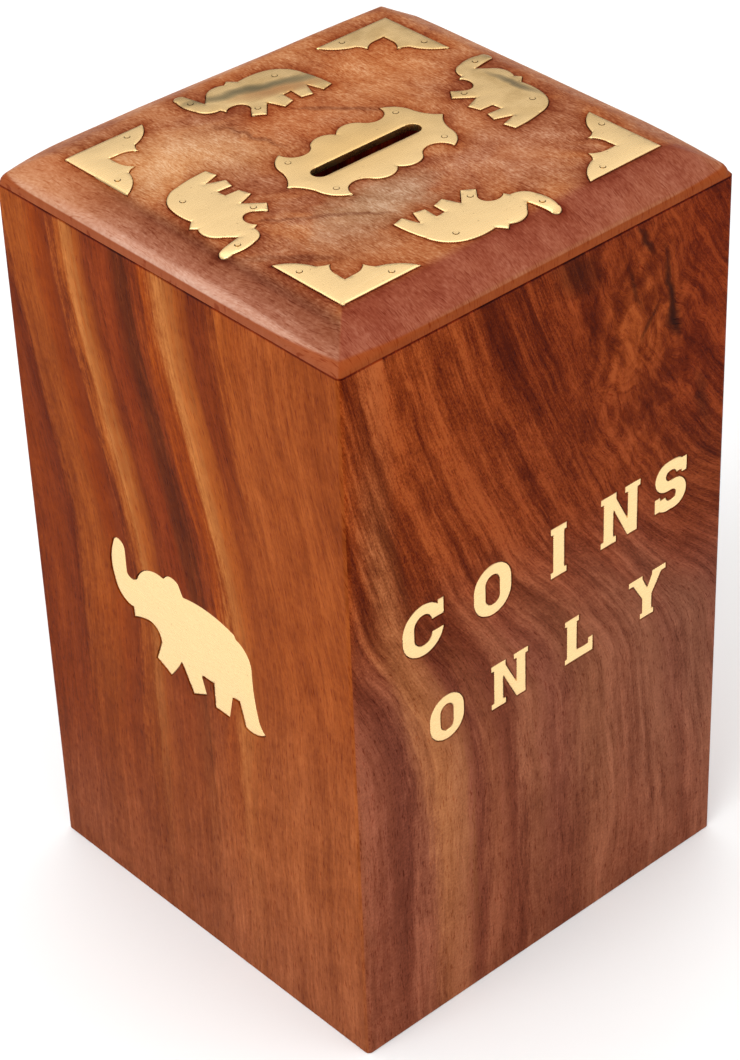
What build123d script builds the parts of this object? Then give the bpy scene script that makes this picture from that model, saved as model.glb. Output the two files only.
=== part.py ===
from build123d import *
import os

# A wooden money box: four mitred walls, a top board with sanded bevels and a coin slot,
# brass inlays glued and pinned flush into the wood, and a screwed base for taking the coins out.
# Millimetres, +Z up, origin at the centre of the underside, lettered wall towards -Y.

# ---- box ------------------------------------------------------------------------------
WIDTH = 127.0                # along X, outside
DEPTH = 124.0                # along Y, outside
WALL_HEIGHT = 204.8          # floor to the joint under the top board
BOARD_THICKNESS = 7.9        # joint to the flat field of the top board
WALL_THICKNESS = 9.0
EDGE_RADIUS = 1.4            # rounding of the four upright edges
TOP = WALL_HEIGHT + BOARD_THICKNESS

# ---- sanded shape of the top board ------------------------------------------------------
RIM_MIDDLE = 3.0             # height of the board's upright edge in the middle of a side
RIM_CORNER = 0.7             # the same at a corner
BEVEL_MIDDLE = 10.5          # width of the bevel in the middle of a side
BEVEL_CORNER = 12.5          # the same at a corner
FIELD_BLEND = 9.0            # radius that softens the line between a bevel and the field

# ---- coin slot and its brass plate --------------------------------------------------------
SLOT_LENGTH = 34.4
SLOT_WIDTH = 4.7
PLATE_CENTRE = (0.8, -0.8)   # the plate is set by hand, a little off the middle

# ---- brass ----------------------------------------------------------------------------
BRASS = 2.0                  # thickness of every inlay
GLUE_GAP = 0.2               # dark glue line round an inlay, in the wood
PIN_RADIUS = 0.65
PIN_LENGTH = 6.0

# ---- base, glue blocks and screws ---------------------------------------------------------
BASE_RECESS = 1.5            # the base sits this far above the bottom rim
BASE_THICKNESS = 8.0
BASE_GAP = 0.3               # between the base and the walls
BLOCK = 16.0                 # a glue block is square in plan
BLOCK_HEIGHT = 30.0
BLOCK_GAP = 0.2              # between the base and a glue block
SCREW_LENGTH = 25.0
SHANK_RADIUS = 1.75
HEAD_RADIUS = 3.7
SCREW_CLEARANCE = 0.05
HEAD_RECESS = 0.2            # head below the face of the base
CROSS_LENGTH = 4.2
CROSS_WIDTH = 0.9
CROSS_DEPTH = 1.2
POINT_LENGTH = 4.0
HEAD_FACE = BASE_RECESS + HEAD_RECESS
BLOCK_BOTTOM = BASE_RECESS + BASE_THICKNESS + BLOCK_GAP
BLOCK_X = WIDTH / 2 - WALL_THICKNESS - BLOCK / 2
BLOCK_Y = DEPTH / 2 - WALL_THICKNESS - BLOCK / 2

# ---- where the inlays lie -------------------------------------------------------------------
# Outer corner of each corner bracket, and the quarter turn that points its arms inwards.
BRACKETS = (
    (-49.9, -48.5, 0),
    (51.5, -49.1, 90),
    (51.0, 47.2, 180),
    (-52.6, 47.8, 270),
)
# Each elephant on top: quarter turn, shift along its side and distance of its back from the middle.
TOP_ELEPHANTS = (
    (0, 0.6, 48.0),
    (90, 2.2, 50.4),
    (180, 1.5, 48.7),
    (270, 1.4, 51.0),
)
SIDE_ELEPHANT = (0.4, 99.9)  # Y and Z of its middle on the left wall
# Letters on the front wall: text, letter height, height of the row's middle and letter middles along X.
LETTER_ROWS = (
    ("COINS", 15.0, 123.8, (-40.5, -17.7, 4.7, 26.3, 44.3)),
    ("ONLY", 13.6, 93.6, (-33.5, -12.2, 12.3, 36.5)),
)

# In letter heights: thickness of a letter's upright, reach of a serif past it, thickness of a serif.
STROKE = 0.26
SERIF_REACH = 0.055
SERIF_THICKNESS = 0.13

# Pins of each kind of inlay, in the inlay's own axes.
PLATE_PINS = ((17.4, 8.6), (-17.4, 8.6), (-17.4, -8.6), (17.4, -8.6))
ELEPHANT_PINS = ((9.5, -4.6), (-14.6, -0.9), (-4.4, -14.4))
BRACKET_PINS = ((17.2, 2.5), (2.5, 17.2))

# Corners in order round the box, as signs of X and Y.
CORNERS = ((-1, -1), (1, -1), (1, 1), (-1, 1))
FROM_BELOW = (Align.CENTER, Align.CENTER, Align.MIN)
FRONT = Plane(origin=(0, -DEPTH / 2, 0), x_dir=(1, 0, 0), z_dir=(0, -1, 0))
LEFT = Plane(origin=(-WIDTH / 2, 0, 0), x_dir=(0, -1, 0), z_dir=(-1, 0, 0))


# ---- outlines -------------------------------------------------------------------------------
def outline(start, *stretches):
    """Face bounded by stretches that follow each other and close on the start.

    A stretch lists the points after the last one: a single point is a straight edge,
    and pairs of points are arcs, each through the pair's first point to its second.
    """
    edges = []
    here = start
    for stretch in (*stretches, [start]):
        if len(stretch) == 1:
            edges.append(Line(here, stretch[0]).edge())
        for middle, end in zip(stretch[0::2], stretch[1::2]):
            edges.append(ThreePointArc(here, middle, end).edge())
            here = end
        here = stretch[-1]
    return make_face(Wire(edges))


def slot_plate_outline():
    """Plate with pointed ends, four horns and two lobes on each long side."""
    quarter = outline(
        (0, 0),
        [(25.2, 0)],
        [(22.8, 2.7), (21.4, 6.2)],
        [(19.6, 10.9), (16.3, 13.3)],
        [(12.2, 8.9), (8.0, 11.3)],
        [(4.3, 13.1), (0, 10.9)],
    )
    half = quarter + mirror(quarter, about=Plane.XZ)
    return half + mirror(half, about=Plane.YZ)


def bracket_outline():
    """Right-angled bracket with its outer corner at the origin and a bat-wing inner edge."""
    arm = outline(
        (0, 0),
        [(23.9, 0)],
        [(20.7, 4.3), (16.3, 6.7)],
        [(15.4, 8.0), (14.9, 9.7)],
        [(12.8, 8.1), (10.2, 7.7)],
        [(7.6, 7.6)],
    )
    diagonal = Plane(origin=(0, 0, 0), z_dir=(1, -1, 0))
    return arm + mirror(arm, about=diagonal)


def top_elephant_outline():
    """Elephant facing -X with its back on the X axis and its feet towards -Y."""
    return outline(
        (-13.2, 3.4),
        [(-14.7, 4.5), (-16.5, 2.4)],
        [(-17.0, -1.4), (-16.2, -4.8), (-14.9, -7.3), (-11.6, -8.5)],
        [(-10.8, -10.1)],
        [(-8.1, -9.0), (-5.9, -9.9), (-5.1, -11.8), (-6.0, -13.7)],
        [(-7.8, -16.0)],
        [(-4.8, -18.2)],
        [(-0.8, -13.7)],
        [(1.0, -18.4)],
        [(4.5, -17.4)],
        [(4.7, -13.5)],
        [(7.3, -13.3)],
        [(7.0, -17.6)],
        [(10.2, -18.4)],
        [(12.1, -13.7)],
        [(13.5, -18.5)],
        [(16.9, -17.7)],
        [(16.7, -13.0), (15.8, -8.2), (13.8, -3.4), (9.6, -0.6), (5.4, 0.1), (1.2, -0.2)],
        [(-0.8, 2.1)],
        [(-2.4, 0.8)],
        [(-6.2, 1.5), (-9.6, -0.8)],
        [(-12.0, -3.3)],
    )


def side_elephant_outline():
    """The larger elephant of the left wall, facing -X, drawn round its middle."""
    return outline(
        (-23.0, 15.2),
        [(-24.9, 17.4), (-27.7, 15.4)],
        [(-29.2, 9.2), (-28.3, 3.4), (-26.2, -0.5), (-21.7, -2.2)],
        [(-21.4, -5.1)],
        [(-17.9, -3.7), (-14.8, -3.2), (-11.8, -4.8), (-11.0, -7.6)],
        [(-13.4, -13.8)],
        [(-7.9, -16.4)],
        [(-5.6, -13.4), (-3.2, -9.7)],
        [(0.8, -17.5)],
        [(6.3, -14.8)],
        [(4.7, -9.5)],
        [(9.2, -9.4)],
        [(9.3, -17.0)],
        [(14.8, -17.1)],
        [(16.5, -9.8)],
        [(19.0, -9.6)],
        [(20.9, -16.6)],
        [(25.2, -16.8), (28.7, -14.8)],
        [(27.0, -12.8), (26.2, -10.4), (25.1, -3.6), (24.8, 3.4), (23.6, 7.2), (19.5, 10.0)],
        [(18.9, 11.1)],
        [(9.4, 12.9), (-0.4, 12.1)],
        [(-2.1, 15.4)],
        [(-3.5, 16.0), (-7.9, 14.0)],
        [(-13.6, 13.5), (-18.7, 9.0)],
        [(-21.0, 7.2), (-22.9, 8.4)],
    )


# ---- letters, drawn round their middle at a height of 1 -----------------------------------------
def oval(half_width, half_height):
    """Straight-sided oval with round ends, upright or lying, whichever its size asks for."""
    if half_height > half_width:
        return Rot(0, 0, 90) * SlotOverall(2 * half_height, 2 * half_width)
    return SlotOverall(2 * half_width, 2 * half_height)


def ring(half_width, half_height):
    """Oval ring, thinner at its top and bottom than at its sides."""
    return oval(half_width, half_height) - oval(half_width - STROKE, half_height - 0.8 * STROKE)


def with_serifs(letter, *places):
    """The letter with a flat serif across each upright's end, at (x, 1 for the top or -1)."""
    level = 0.5 - SERIF_THICKNESS / 2
    for x, end in places:
        serif = Rectangle(STROKE + 2 * SERIF_REACH, SERIF_THICKNESS)
        letter = Sketch() + letter + Pos(x, end * level) * serif
    return letter


def beak(x, middle):
    """Short upright bar that ends a curved stroke."""
    return Pos(x, middle) * Rectangle(SERIF_THICKNESS, 0.30)


def letter_c():
    half_width = 0.45
    mouth = Pos(0.35, 0.0) * Rectangle(0.5, 0.24)
    return ring(half_width, 0.5) - mouth + beak(half_width - SERIF_THICKNESS / 2, 0.29)


def letter_o():
    return ring(0.42, 0.5)


def letter_i():
    return with_serifs(Rectangle(STROKE, 1.0), (0, -1), (0, 1))


def letter_n():
    side = 0.40
    inner = side - 0.9 * STROKE
    upright = (side + inner) / 2
    slant = 0.16
    letter = outline(
        (-side, -0.5),
        [(-inner, -0.5)],
        [(-inner, slant)],
        [(inner, -0.5)],
        [(side, -0.5)],
        [(side, 0.5)],
        [(inner, 0.5)],
        [(inner, -slant)],
        [(-inner, 0.5)],
        [(-side, 0.5)],
    )
    return with_serifs(letter, (-upright, -1), (-upright, 1), (upright, 1))


def letter_s():
    overlap = 0.8 * STROKE
    half_height = (1.0 + overlap) / 4
    half_width = 0.38
    rise = 0.5 - half_height
    bowl = ring(half_width, half_height)
    cut = Rectangle(half_width, half_height, align=(Align.MIN, Align.MAX))
    upper = bowl - cut
    lower = bowl - Rot(0, 0, 180) * cut
    beaks = beak(half_width - SERIF_THICKNESS / 2, 0.29) + beak(SERIF_THICKNESS / 2 - half_width, -0.29)
    return Pos(0, rise) * upper + Pos(0, -rise) * lower + beaks


def letter_l():
    half_width = 0.34
    upright = -half_width + STROKE
    foot = -0.5 + 0.85 * STROKE
    letter = outline(
        (-half_width, -0.5),
        [(half_width, -0.5)],
        [(half_width, foot)],
        [(upright, foot)],
        [(upright, 0.5)],
        [(-half_width, 0.5)],
    )
    middle = upright - STROKE / 2
    letter = with_serifs(letter, (middle, -1), (middle, 1))
    return letter + Pos(half_width - SERIF_THICKNESS / 2, -0.33) * Rectangle(SERIF_THICKNESS, 0.34)


def letter_y():
    half_width = 0.46
    stem = 0.5 * STROKE
    arm = half_width - 1.15 * STROKE
    tip = (half_width + arm) / 2
    letter = outline(
        (-stem, -0.5),
        [(stem, -0.5)],
        [(stem, -0.04)],
        [(half_width, 0.5)],
        [(arm, 0.5)],
        [(0, 0.17)],
        [(-arm, 0.5)],
        [(-half_width, 0.5)],
        [(-stem, -0.04)],
    )
    return with_serifs(letter, (0, -1), (-tip, 1), (tip, 1))


LETTERS = {
    "C": letter_c,
    "O": letter_o,
    "I": letter_i,
    "N": letter_n,
    "S": letter_s,
    "L": letter_l,
    "Y": letter_y,
}


# ---- wood -----------------------------------------------------------------------------------
def rounded_envelope():
    """The whole box's block with its upright edges rounded."""
    return extrude(RectangleRounded(WIDTH, DEPTH, EDGE_RADIUS), TOP)


def sanded_board():
    """Top board before its pockets are cut.

    Each bevel is ruled between an arched rim, lowest at the corners, and a slightly
    bowed edge of the flat field. The line between bevel and field is softened.
    """
    side_x, side_y = WIDTH / 2, DEPTH / 2
    faces = [Pos(0, 0, WALL_HEIGHT) * Rectangle(WIDTH, DEPTH).face()]
    field_edges = []
    for number, (ax, ay) in enumerate(CORNERS):
        bx, by = CORNERS[(number + 1) % len(CORNERS)]
        mx, my = (ax + bx) / 2, (ay + by) / 2
        foot_a = (ax * side_x, ay * side_y, WALL_HEIGHT)
        foot_b = (bx * side_x, by * side_y, WALL_HEIGHT)
        rim_a = (ax * side_x, ay * side_y, WALL_HEIGHT + RIM_CORNER)
        rim_b = (bx * side_x, by * side_y, WALL_HEIGHT + RIM_CORNER)
        rim_middle = (mx * side_x, my * side_y, WALL_HEIGHT + RIM_MIDDLE)
        field_a = (ax * (side_x - BEVEL_CORNER), ay * (side_y - BEVEL_CORNER), TOP)
        field_b = (bx * (side_x - BEVEL_CORNER), by * (side_y - BEVEL_CORNER), TOP)
        field_middle = (mx * (side_x - BEVEL_MIDDLE), my * (side_y - BEVEL_MIDDLE), TOP)
        rim = ThreePointArc(rim_a, rim_middle, rim_b).edge()
        field = ThreePointArc(field_a, field_middle, field_b).edge()
        upright_b = Line(foot_b, rim_b).edge()
        upright_a = Line(rim_a, foot_a).edge()
        faces.append(Face(Wire([Line(foot_a, foot_b).edge(), upright_b, rim, upright_a])))
        faces.append(Face.make_surface_from_curves(rim, field))
        field_edges.append(field)
    faces.append(Face(Wire(field_edges)))
    block = Solid(Shell(faces))
    field_lines = [edge for edge in block.edges() if edge.center().Z > TOP - 0.01]
    return fillet(field_lines, FIELD_BLEND) & rounded_envelope()


def wall(half_length, distance, turn):
    """Wall panel with mitred ends, made on the front side and turned into place."""
    section = outline(
        (-half_length, -distance),
        [(half_length, -distance)],
        [(half_length - WALL_THICKNESS, -distance + WALL_THICKNESS)],
        [(-half_length + WALL_THICKNESS, -distance + WALL_THICKNESS)],
    )
    return Rot(0, 0, turn) * extrude(section, WALL_HEIGHT) & rounded_envelope()


def pocket(face):
    """Recess for an inlay, wider all round by the glue line."""
    return extrude(offset(face, GLUE_GAP), BRASS, both=True)


def on_top(face):
    return Pos(0, 0, TOP) * face


def pin_at(x, y, board):
    """Brass pin driven in from above and sanded flush with the board."""
    pin = Pos(x, y, TOP - PIN_LENGTH) * Cylinder(PIN_RADIUS, PIN_LENGTH + 1, align=FROM_BELOW)
    return (pin & board).solid()


# ---- base and its screws --------------------------------------------------------------------
def screw():
    """Countersunk wood screw pointing up, its head's face at the origin."""
    cone_height = HEAD_RADIUS - SHANK_RADIUS
    shank_length = SCREW_LENGTH - cone_height - POINT_LENGTH
    head = Cone(HEAD_RADIUS, SHANK_RADIUS, cone_height, align=FROM_BELOW)
    shank = Pos(0, 0, cone_height) * Cylinder(SHANK_RADIUS, shank_length, align=FROM_BELOW)
    point = Pos(0, 0, cone_height + shank_length) * Cone(SHANK_RADIUS, 0.3, POINT_LENGTH, align=FROM_BELOW)
    cross = Box(CROSS_LENGTH, CROSS_WIDTH, 2 * CROSS_DEPTH)
    return head + shank + point - cross - Rot(0, 0, 90) * cross


def screw_hole():
    """Room for one screw in the base and in the glue block above it."""
    wide = HEAD_RADIUS + HEAD_RECESS + SCREW_CLEARANCE
    narrow = SHANK_RADIUS + SCREW_CLEARANCE
    bore_length = SCREW_LENGTH + HEAD_RECESS + 1
    countersink = Cone(wide, narrow, wide - narrow, align=FROM_BELOW)
    bore = Cylinder(narrow, bore_length, align=FROM_BELOW)
    return Pos(0, 0, BASE_RECESS) * (countersink + bore)


def base_plate():
    inside_x = WIDTH - 2 * WALL_THICKNESS - 2 * BASE_GAP
    inside_y = DEPTH - 2 * WALL_THICKNESS - 2 * BASE_GAP
    plate = Pos(0, 0, BASE_RECESS) * Box(inside_x, inside_y, BASE_THICKNESS, align=FROM_BELOW)
    for sx, sy in CORNERS:
        plate -= Pos(sx * BLOCK_X, sy * BLOCK_Y, 0) * screw_hole()
    return plate


def glue_block(sx, sy):
    """Block glued into a corner, with its free upright edge chamfered."""
    block = Pos(sx * BLOCK_X, sy * BLOCK_Y, BLOCK_BOTTOM) * Box(BLOCK, BLOCK, BLOCK_HEIGHT, align=FROM_BELOW)
    upright_edges = block.edges().filter_by(Axis.Z)
    free_edge = upright_edges.sort_by(lambda edge: abs(edge.center().X) + abs(edge.center().Y))[0]
    block = chamfer(free_edge, BLOCK / 4)
    return block - Pos(sx * BLOCK_X, sy * BLOCK_Y, 0) * screw_hole()


# ---- assembly -------------------------------------------------------------------------------
board = sanded_board()
parts = {}
pins = {"slot_plate_pins": [], "elephant_pins": [], "bracket_pins": []}
cut_from_board = []


def inlay_on_top(name, face, pin_group, pin_places, location):
    """One inlay and its pins, both cut to the board's surface and sunk into it."""
    placed = on_top(location * face)
    inlay = extrude(placed, BRASS, both=True) & board
    cut_from_board.append(pocket(placed))
    for x, y in pin_places:
        spot = (location * Pos(x, y, 0)).position
        pin = pin_at(spot.X, spot.Y, board)
        inlay -= pin
        cut_from_board.append(pin)
        pins[pin_group].append(pin)
    parts[name] = inlay


coin_slot = SlotOverall(SLOT_LENGTH, SLOT_WIDTH)
plate = slot_plate_outline() - coin_slot
inlay_on_top("slot_plate", plate, "slot_plate_pins", PLATE_PINS, Pos(*PLATE_CENTRE, 0))
cut_from_board.append(Pos(*PLATE_CENTRE, TOP) * extrude(coin_slot, 2 * BOARD_THICKNESS, both=True))

for number, (turn, along, out) in enumerate(TOP_ELEPHANTS, start=1):
    location = Rot(0, 0, turn) * Pos(along, out, 0)
    inlay_on_top(f"top_elephant_{number}", top_elephant_outline(), "elephant_pins", ELEPHANT_PINS, location)

for number, (x, y, turn) in enumerate(BRACKETS, start=1):
    location = Pos(x, y, 0) * Rot(0, 0, turn)
    inlay_on_top(f"corner_bracket_{number}", bracket_outline(), "bracket_pins", BRACKET_PINS, location)

front_panel = wall(WIDTH / 2, DEPTH / 2, 0)
for row, (text, height, level, middles) in zip(("upper", "lower"), LETTER_ROWS):
    for number, (glyph, middle) in enumerate(zip(text, middles), start=1):
        placed = FRONT * Pos(middle, level, 0) * scale(LETTERS[glyph](), by=height)
        parts[f"{row}_letter_{number}"] = extrude(placed, -BRASS)
        front_panel -= pocket(placed)

placed = LEFT * Pos(-SIDE_ELEPHANT[0], SIDE_ELEPHANT[1], 0) * side_elephant_outline()
parts["side_elephant"] = extrude(placed, -BRASS)

for cutter in cut_from_board:
    board -= cutter
parts["top_board"] = board
parts["front_panel"] = front_panel
parts["right_panel"] = wall(DEPTH / 2, WIDTH / 2, 90)
parts["back_panel"] = wall(WIDTH / 2, DEPTH / 2, 180)
parts["left_panel"] = wall(DEPTH / 2, WIDTH / 2, 270) - pocket(placed)
parts["base_plate"] = base_plate()
for number, (sx, sy) in enumerate(CORNERS, start=1):
    parts[f"glue_block_{number}"] = glue_block(sx, sy)
    parts[f"base_screw_{number}"] = Pos(sx * BLOCK_X, sy * BLOCK_Y, HEAD_FACE) * screw()
for name, group in pins.items():
    parts[name] = Compound(group)

os.makedirs("parts", exist_ok=True)
for name, solid in parts.items():
    export_step(solid, f"parts/{name}.step")
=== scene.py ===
import math

import bmesh
import bpy
import numpy as np
from mathutils import Matrix, Vector, noise
from mathutils.geometry import delaunay_2d_cdt


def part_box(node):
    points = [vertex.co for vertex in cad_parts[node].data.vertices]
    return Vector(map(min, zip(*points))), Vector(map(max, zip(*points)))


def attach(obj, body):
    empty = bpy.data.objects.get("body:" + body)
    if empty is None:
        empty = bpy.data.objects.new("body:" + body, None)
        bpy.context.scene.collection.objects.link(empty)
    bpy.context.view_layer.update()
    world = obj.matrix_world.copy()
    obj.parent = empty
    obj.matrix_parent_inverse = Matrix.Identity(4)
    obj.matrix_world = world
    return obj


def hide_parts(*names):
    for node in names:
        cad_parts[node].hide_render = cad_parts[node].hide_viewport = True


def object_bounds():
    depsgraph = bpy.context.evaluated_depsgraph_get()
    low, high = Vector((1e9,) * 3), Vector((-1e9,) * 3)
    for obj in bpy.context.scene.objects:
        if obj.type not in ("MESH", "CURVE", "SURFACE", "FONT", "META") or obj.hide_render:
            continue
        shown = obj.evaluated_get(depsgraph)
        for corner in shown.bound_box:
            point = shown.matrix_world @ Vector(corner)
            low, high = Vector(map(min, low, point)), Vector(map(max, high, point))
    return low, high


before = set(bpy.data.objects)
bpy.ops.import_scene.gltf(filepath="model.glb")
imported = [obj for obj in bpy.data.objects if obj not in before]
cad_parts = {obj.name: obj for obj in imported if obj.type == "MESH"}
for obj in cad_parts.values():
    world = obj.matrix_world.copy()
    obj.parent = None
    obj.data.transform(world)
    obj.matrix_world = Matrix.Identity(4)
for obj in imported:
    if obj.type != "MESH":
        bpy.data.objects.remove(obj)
CAD_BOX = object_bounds()
MM = 0.001
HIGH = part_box("top_board")[1] / MM           # the board's back right upper corner
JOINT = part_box("top_board")[0].z / MM        # level of the walls' upper ends
WALL_RADIUS = 1.4            # of the walls' upright edges

# Camera, above the near corner: degrees, millimetres of lens and sensor, metres.
CAMERA_AZIMUTH = -41.04
CAMERA_ELEVATION = 35.76
CAMERA_ROLL = -2.25
CAMERA_PLACE = (-0.4448, -0.5085, 0.5874)
LENS = 109.3
SENSOR_WIDTH = 36.0


# ---- camera -------------------------------------------------------------------------------------
def direction(azimuth, elevation):
    """Unit vector from the object towards a place round it, in degrees; azimuth 0 is in front."""
    a, e = math.radians(azimuth), math.radians(elevation)
    return Vector((math.sin(a) * math.cos(e), -math.cos(a) * math.cos(e), math.sin(e)))


def make_camera():
    data = bpy.data.cameras.new("camera")
    data.sensor_width = SENSOR_WIDTH
    data.lens = LENS
    camera = bpy.data.objects.new("camera", data)
    roll = Matrix.Rotation(math.radians(CAMERA_ROLL), 3, "Z")
    back = direction(CAMERA_AZIMUTH, CAMERA_ELEVATION)
    turn = back.to_track_quat("Z", "Y").to_matrix() @ roll
    camera.rotation_mode = "QUATERNION"
    camera.rotation_quaternion = turn.to_quaternion()
    camera.location = CAMERA_PLACE
    bpy.context.scene.collection.objects.link(camera)
    bpy.context.scene.camera = camera
    bpy.context.scene.view_settings.view_transform = "Standard"


make_camera()


# ---- node graphs --------------------------------------------------------------------------------
class Graph:
    """A material's nodes, written as plain calls. Lengths inside are in millimetres."""

    def __init__(self, name):
        self.material = bpy.data.materials.new(name)
        self.material.use_nodes = True
        self.nodes = self.material.node_tree.nodes
        self.links = self.material.node_tree.links
        self.shader = self.nodes["Principled BSDF"]
        place = self.nodes.new("ShaderNodeTexCoord").outputs["Object"]
        split = self.nodes.new("ShaderNodeSeparateXYZ")
        self.links.new(place, split.inputs[0])
        self.x, self.y, self.z = (self.scaled(out, 1 / MM) for out in split.outputs)

    def put(self, socket, value):
        if isinstance(value, bpy.types.NodeSocket):
            self.links.new(value, socket)
        else:
            socket.default_value = value

    def calc(self, operation, *values):
        node = self.nodes.new("ShaderNodeMath")
        node.operation = operation
        for socket, value in zip(node.inputs, values):
            self.put(socket, value)
        return node.outputs[0]

    def scaled(self, value, factor, offset=0.0):
        return self.calc("MULTIPLY_ADD", value, factor, offset)

    def add(self, a, b):
        return self.calc("ADD", a, b)

    def less(self, a, b):
        return self.calc("SUBTRACT", a, b)

    def times(self, a, b):
        return self.calc("MULTIPLY", a, b)

    def attribute(self, name):
        node = self.nodes.new("ShaderNodeAttribute")
        node.attribute_name = name
        return node.outputs["Fac"]

    def step(self, value, low, high, to_low=0.0, to_high=1.0):
        """Smooth step of a value from low to high."""
        node = self.nodes.new("ShaderNodeMapRange")
        node.interpolation_type = "SMOOTHSTEP"
        names = ("Value", "From Min", "From Max", "To Min", "To Max")
        for name, number in zip(names, (value, low, high, to_low, to_high)):
            self.put(node.inputs[name], number)
        return node.outputs["Result"]

    def spot(self, x, y, centre, size, tilt=0.0):
        """1 at the centre of an oval, fading to 0 at its rim; tilt shears it along y."""
        dx = self.less(x, centre[0])
        dy = self.less(y, centre[1])
        dx = self.add(dx, self.scaled(dy, tilt))
        dx = self.scaled(dx, 1 / size[0])
        dy = self.scaled(dy, 1 / size[1])
        away = self.calc("SQRT", self.add(self.times(dx, dx), self.times(dy, dy)))
        return self.step(away, 0.0, 1.0, 1.0, 0.0)

    def noise(self, x, y, z, size, detail=2.0, roughness=0.5, distortion=0.0):
        """Noise round 0.5 whose features are about as large as size, one length or one per axis."""
        sizes = size if isinstance(size, tuple) else (size, size, size)
        join = self.nodes.new("ShaderNodeCombineXYZ")
        for socket, value, length in zip(join.inputs, (x, y, z), sizes):
            if isinstance(value, bpy.types.NodeSocket):
                value = self.scaled(value, 1 / length)
            self.put(socket, value)
        node = self.nodes.new("ShaderNodeTexNoise")
        node.inputs["Scale"].default_value = 1.0
        node.inputs["Detail"].default_value = detail
        node.inputs["Roughness"].default_value = roughness
        node.inputs["Distortion"].default_value = distortion
        self.links.new(join.outputs[0], node.inputs["Vector"])
        return node.outputs["Fac"]

    def blend(self, amount, first, second):
        node = self.nodes.new("ShaderNodeMix")
        node.data_type = "RGBA"
        self.put(node.inputs["Factor"], amount)
        for socket, value in ((node.inputs[6], first), (node.inputs[7], second)):
            if isinstance(value, tuple):
                value = (*value, 1.0)
            self.put(socket, value)
        return node.outputs[2]

    def deepened(self, colour, exponent):
        """The colour raised to an exponent: above 1 it is darker and richer, below 1 paler."""
        node = self.nodes.new("ShaderNodeGamma")
        if isinstance(colour, tuple):
            colour = (*colour, 1.0)
        self.put(node.inputs["Color"], colour)
        self.put(node.inputs["Gamma"], exponent)
        return node.outputs[0]

    def shaded(self, colour, depth):
        """The colour darker where depth is above 1, paler below, and almost of the same hue."""
        brightness = self.calc("EXPONENT", self.scaled(depth, -1.05, 1.05))
        node = self.nodes.new("ShaderNodeVectorMath")
        node.operation = "SCALE"
        self.links.new(self.deepened(colour, self.scaled(depth, 0.45, 0.55)), node.inputs[0])
        self.put(node.inputs["Scale"], brightness)
        return node.outputs[0]

    def bands(self, value, *stops):
        """Colour read from (millimetres, colour) stops."""
        low, high = stops[0][0], stops[-1][0]
        placed = [((place - low) / (high - low), colour) for place, colour in stops]
        return self.colours(self.scaled(value, 1 / (high - low), -low / (high - low)), *placed)

    def colours(self, value, *stops):
        """Colour read along a ramp of (position, colour) stops."""
        node = self.nodes.new("ShaderNodeValToRGB")
        node.color_ramp.interpolation = "EASE"
        elements = node.color_ramp.elements
        while len(elements) < len(stops):
            elements.new(1.0)
        for element, (position, colour) in zip(elements, stops):
            element.position = position
            element.color = (*colour, 1.0)
        self.put(node.inputs[0], value)
        return node.outputs[0]

    def bump(self, height, distance, under=None):
        """Normal from a height from 0 to 1 that stands distance millimetres."""
        node = self.nodes.new("ShaderNodeBump")
        node.inputs["Strength"].default_value = 1.0
        node.inputs["Distance"].default_value = distance * MM
        self.put(node.inputs["Height"], height)
        if under is not None:
            self.links.new(under, node.inputs["Normal"])
        return node.outputs[0]

    def finish(self, colour, roughness, normal, **constants):
        self.put(self.shader.inputs["Base Color"], colour)
        self.put(self.shader.inputs["Roughness"], roughness)
        self.links.new(normal, self.shader.inputs["Normal"])
        for name, value in constants.items():
            self.shader.inputs[name].default_value = value
        return self.material


# ---- wood ---------------------------------------------------------------------------------------
BLACK = (0.020, 0.003, 0.001)
DARK = (0.095, 0.016, 0.003)
BROWN = (0.158, 0.024, 0.004)
RED = (0.245, 0.040, 0.003)
ORANGE = (0.30, 0.066, 0.009)
GOLD = (0.375, 0.118, 0.026)
LACQUER = {"Specular IOR Level": 0.02}


class Grain:
    """Figure of a sawn plank, from coordinates across and along its fibres."""

    def __init__(self, g, across, along, depth, seed):
        deep = g.add(g.scaled(depth, 0.3), seed)
        self.broad = g.noise(across, along, deep, (10.0, 150.0, 20.0), 2.0)
        self.middle = g.noise(across, along, g.add(deep, 20.0), (2.6, 50.0, 9.0), 3.0, 0.6)
        self.fine = g.noise(across, along, g.add(deep, 40.0), (0.8, 11.0, 3.0), 3.0, 0.65)
        hairs = g.noise(across, along, g.add(deep, 60.0), (0.28, 3.6, 0.8), 1.0)
        self.pores = g.step(hairs, 0.58, 0.72)
        self.grit = g.noise(across, along, g.add(deep, 70.0), (0.7, 1.3, 0.8), 2.0, 0.7)
        self.curl = g.noise(across, along, g.add(deep, 80.0), (7.0, 10.0, 9.0), 4.0, 0.6, 0.6)

    def mixed(self, g, broad, middle, fine, grit=0.0, curl=0.0):
        """The figures added up by weight, round 0."""
        figures = (self.broad, self.middle, self.fine, self.grit, self.curl)
        weights = (broad, middle, fine, grit, curl)
        total = -0.5 * sum(weights)
        for figure, weight in zip(figures, weights):
            if weight:
                total = g.scaled(figure, weight, total)
        return total


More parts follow.
